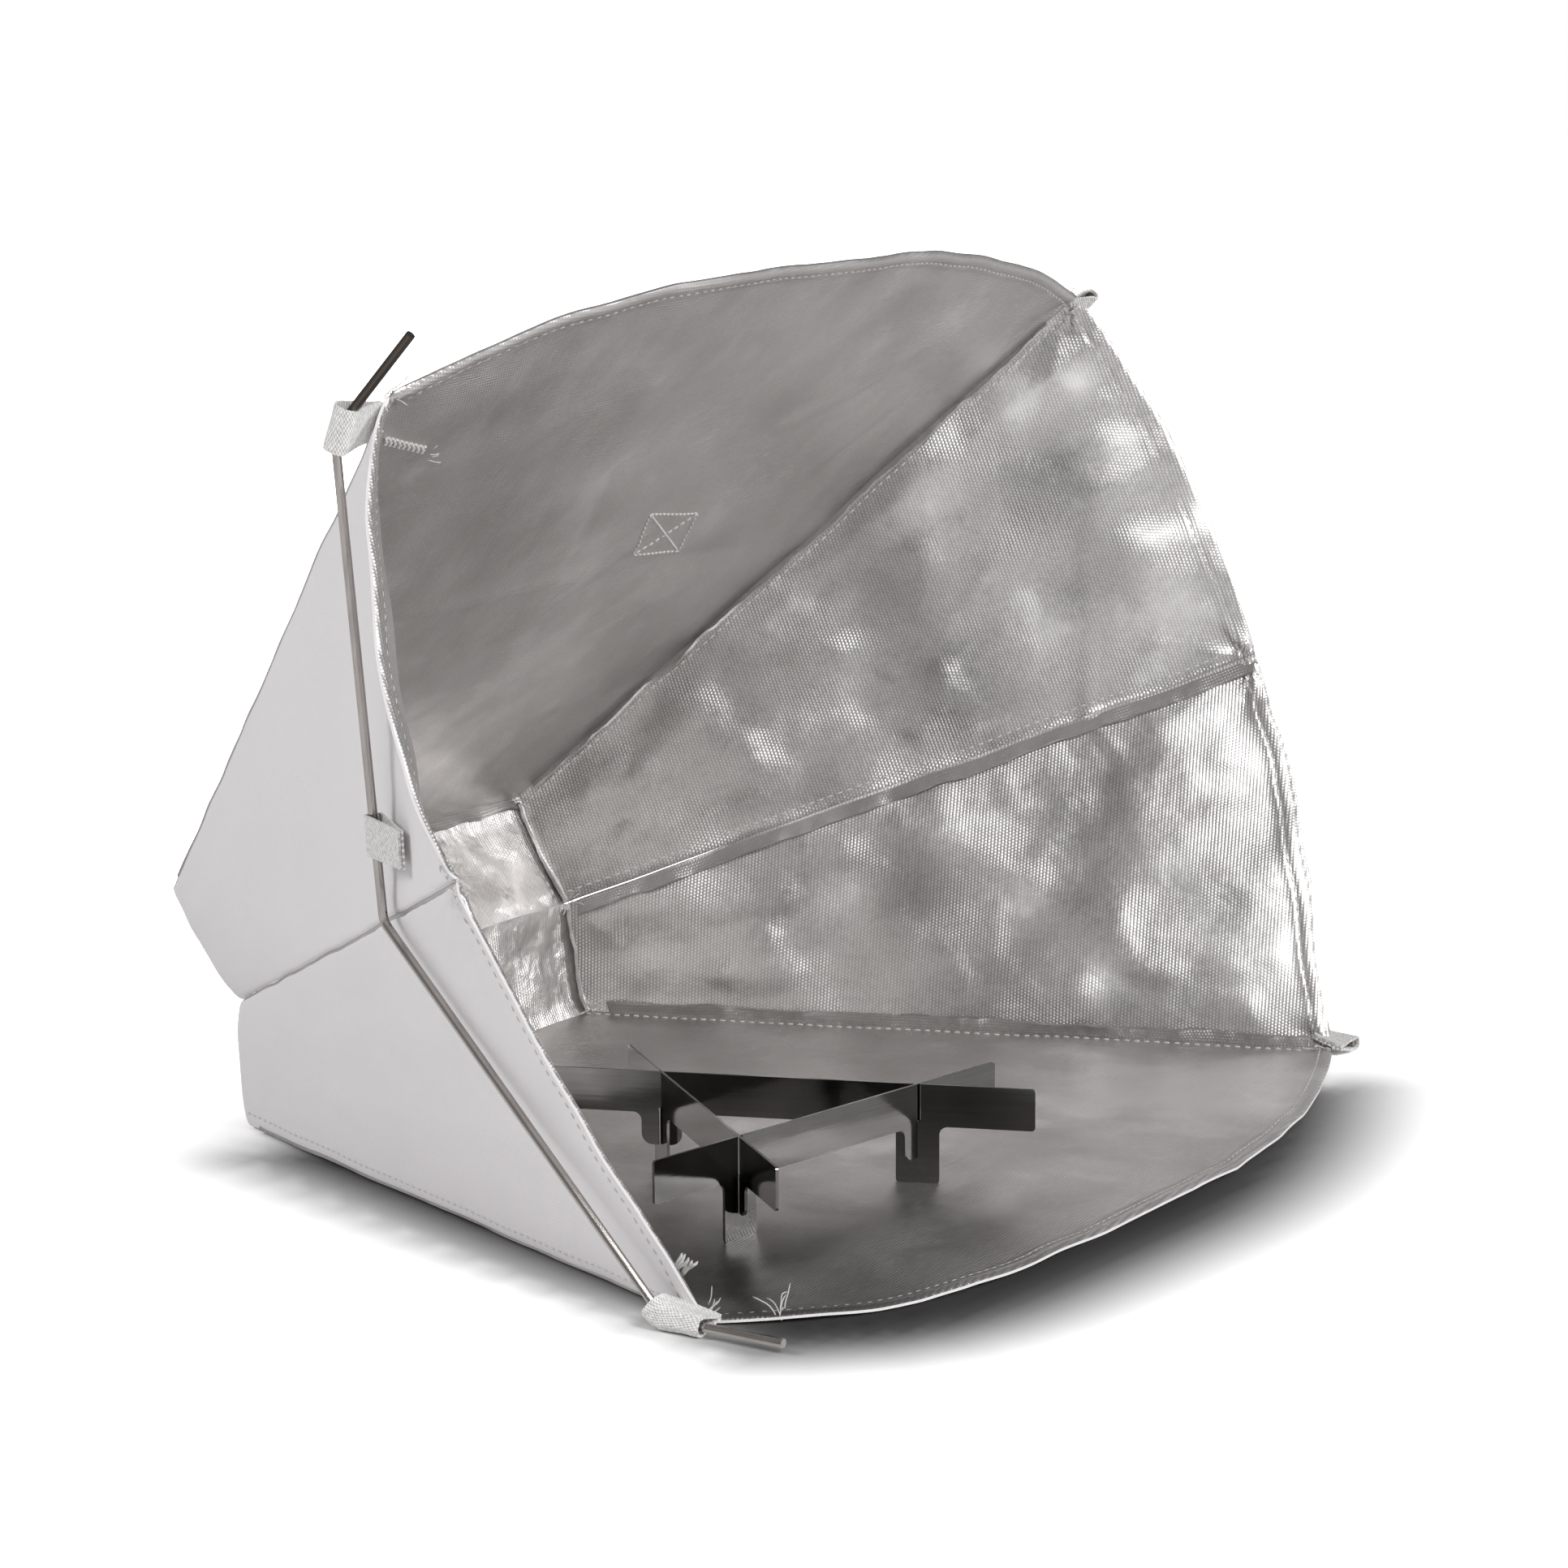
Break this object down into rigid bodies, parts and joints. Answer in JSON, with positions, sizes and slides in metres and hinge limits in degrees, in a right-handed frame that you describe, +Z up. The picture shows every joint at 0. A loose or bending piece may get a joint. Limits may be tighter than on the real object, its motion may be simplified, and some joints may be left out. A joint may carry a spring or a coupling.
{
  "type": "folding camp oven",
  "caption": "Fold-flat reflector oven for a campfire: a wedge of sewn metallised cloth held open by two bent wire props, with an interlocking strip trivet on its floor.",
  "frame": {"origin": "on the ground, under the middle of the whole oven's bounding box", "axes": "+X to the right seen from the mouth, the mouth faces -Y, +Z up"},
  "size_m": [0.5144, 0.3728, 0.3274],
  "materials": {
    "metallised_cloth": "glass cloth, aluminised inside, pale grey outside",
    "white_webbing": "woven tape",
    "stainless_wire": "drawn wire",
    "dark_polished_steel": "polished sheet"
  },
  "bodies": {
    "floor": {"floor_panel": "metallised_cloth", "left_lower_side": "metallised_cloth", "right_lower_side": "metallised_cloth", "left_bottom_loop": "white_webbing", "right_bottom_loop": "white_webbing"},
    "back_lower": {"back_lower_panel": "metallised_cloth"},
    "back_upper": {"back_upper_panel": "metallised_cloth"},
    "top": {"top_panel": "metallised_cloth", "left_upper_side": "metallised_cloth", "right_upper_side": "metallised_cloth", "left_top_loop": "white_webbing", "right_top_loop": "white_webbing", "left_middle_loop": "white_webbing", "right_middle_loop": "white_webbing", "top_tab": "white_webbing"},
    "left_prop": {"left_rod": "stainless_wire"},
    "right_prop": {"right_rod": "stainless_wire"},
    "trivet": {"trivet_strip_1": "dark_polished_steel", "trivet_strip_2": "dark_polished_steel", "trivet_strip_3": "dark_polished_steel"}
  },
  "joints": [
    {"name": "back_fold", "type": "hinge", "parent": "floor", "child": "back_lower", "pos_m": [0, 0.14999, 0.00115], "axis": [1, 0, 0], "range_deg": [0, 94], "deforming": ["left_lower_side", "right_lower_side", "left_upper_side", "right_upper_side"]},
    {"name": "crease_fold", "type": "hinge", "parent": "back_lower", "child": "back_upper", "pos_m": [0, 0.1578, 0.04712], "axis": [1, 0, 0], "range_deg": [-143.83, 0]},
    {"name": "top_fold", "type": "hinge", "parent": "back_upper", "child": "top", "pos_m": [0, 0.18545, 0.08467], "axis": [1, 0, 0], "range_deg": [0, 94]},
    {"name": "left_rod_swing", "type": "hinge", "parent": "floor", "child": "left_prop", "pos_m": [-0.22097, -0.13386, 0.0031], "axis": [0, 1, 0], "range_deg": [-86, 0], "deforming": ["left_top_loop", "left_middle_loop"]},
    {"name": "right_rod_swing", "type": "hinge", "parent": "floor", "child": "right_prop", "pos_m": [0.22097, -0.13386, 0.0031], "axis": [0, 1, 0], "range_deg": [0, 86], "deforming": ["right_top_loop", "right_middle_loop"]},
    {"name": "trivet_slide", "type": "slide", "parent": "floor", "child": "trivet", "axis": [0, -0.9987, 0.05], "range_m": [0, 0.32]}
  ],
  "couplings": [
    {"joint": "crease_fold", "follows": "back_fold", "ratio": -1.53},
    {"joint": "top_fold", "follows": "back_fold", "ratio": 1},
    {"joint": "left_rod_swing", "follows": "back_fold", "ratio": -0.9148},
    {"joint": "right_rod_swing", "follows": "back_fold", "ratio": 0.9148},
    {"joint": "trivet_slide", "follows": "back_fold", "m_per_rad": 0.195}
  ]
}
